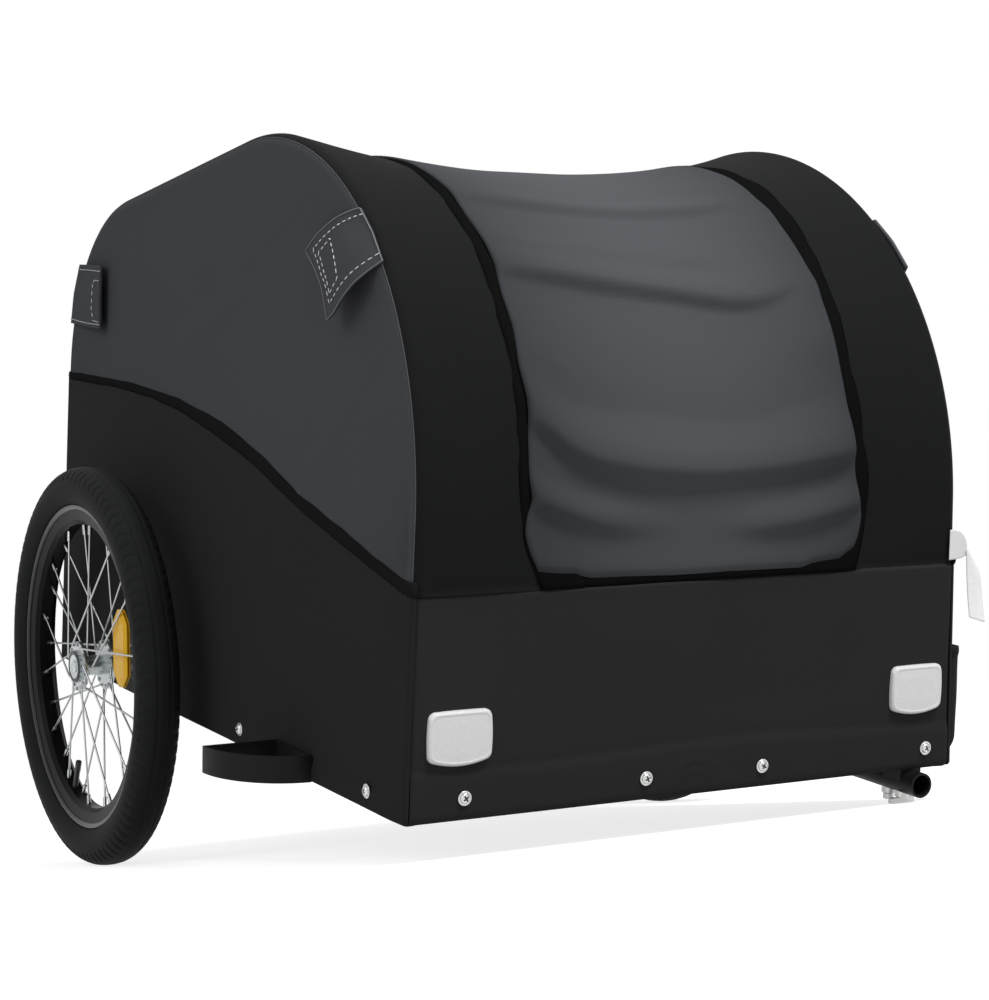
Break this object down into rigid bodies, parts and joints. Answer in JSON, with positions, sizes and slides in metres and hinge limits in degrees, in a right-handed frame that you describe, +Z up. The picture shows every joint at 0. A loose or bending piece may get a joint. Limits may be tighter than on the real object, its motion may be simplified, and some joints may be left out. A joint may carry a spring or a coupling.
{
  "type": "bicycle trailer",
  "caption": "Bicycle cargo trailer with a fabric tub, a rounded grey and black canopy, spoked wheels and an open socket for its drawbar.",
  "frame": {"origin": "on the floor under the middle of the trailer's bounding box, as it stands leaning on its tow socket", "axes": "+Y to the rear, +X to the trailer's left, +Z up; the trailer leans nose down by 13.20 degrees about its axle line, onto its tow socket"},
  "size_m": [0.7096, 0.8745, 0.6735],
  "materials": {
    "amber_reflector": "clear prismatic plastic, amber",
    "black_fabric": "matt coated polyester weave",
    "black_rim": "satin black powder coat",
    "black_steel": "satin black powder coat",
    "floor_panel": "matt moulded board",
    "grey_fabric": "matt coated polyester weave",
    "hub_alloy": "polished alloy",
    "red_reflector": "clear prismatic plastic, red",
    "spoke_steel": "bright drawn wire",
    "tyre_rubber": "matt rubber",
    "white_reflector": "clear prismatic plastic over white",
    "zinc_steel": "bright zinc plate"
  },
  "bodies": {
    "frame": {"axle_left": "zinc_steel", "axle_plate_left": "black_steel", "axle_plate_right": "black_steel", "axle_rail": "black_steel", "axle_right": "zinc_steel", "canopy_band_left": "black_fabric", "canopy_band_right": "black_fabric", "clamp_screw_front": "zinc_steel", "clamp_screw_rear": "zinc_steel", "floor_board": "floor_panel", "front_cover": "grey_fabric", "front_cross_bar": "black_steel", "front_panel": "black_fabric", "front_rail": "black_steel", "front_reflector_left": "white_reflector", "front_reflector_right": "white_reflector", "front_tab_left": "grey_fabric", "front_tab_right": "grey_fabric", "hoop_left": "black_steel", "hoop_right": "black_steel", "middle_rail": "black_steel", "rear_cross_bar": "black_steel", "rear_panel": "black_fabric", "rear_rail": "black_steel", "rear_reflector_left": "red_reflector", "rear_reflector_right": "red_reflector", "rear_tab_left": "grey_fabric", "rear_tab_right": "grey_fabric", "side_lower_left": "black_fabric", "side_lower_right": "black_fabric", "side_pouch": "black_fabric", "side_rail_left": "black_steel", "side_rail_right": "black_steel", "side_upper_left": "grey_fabric", "side_upper_right": "grey_fabric", "socket_saddles": "black_steel", "tow_socket": "black_steel", "wheel_guard_left": "black_steel", "wheel_guard_right": "black_steel"},
    "wheel_left": {"hub_left": "hub_alloy", "rim_left": "black_rim", "spoke_reflector_left": "amber_reflector", "spokes_left": "spoke_steel", "tyre_left": "tyre_rubber"},
    "wheel_right": {"hub_right": "hub_alloy", "rim_right": "black_rim", "spoke_reflector_right": "amber_reflector", "spokes_right": "spoke_steel", "tyre_right": "tyre_rubber"}
  },
  "joints": [
    {"name": "wheel_left_spin", "type": "hinge", "parent": "frame", "child": "wheel_left", "pos_m": [0.331, 0.19952, 0.2], "axis": [1, 0, 0], "continuous": true},
    {"name": "wheel_right_spin", "type": "hinge", "parent": "frame", "child": "wheel_right", "pos_m": [-0.331, 0.19952, 0.2], "axis": [1, 0, 0], "continuous": true}
  ]
}
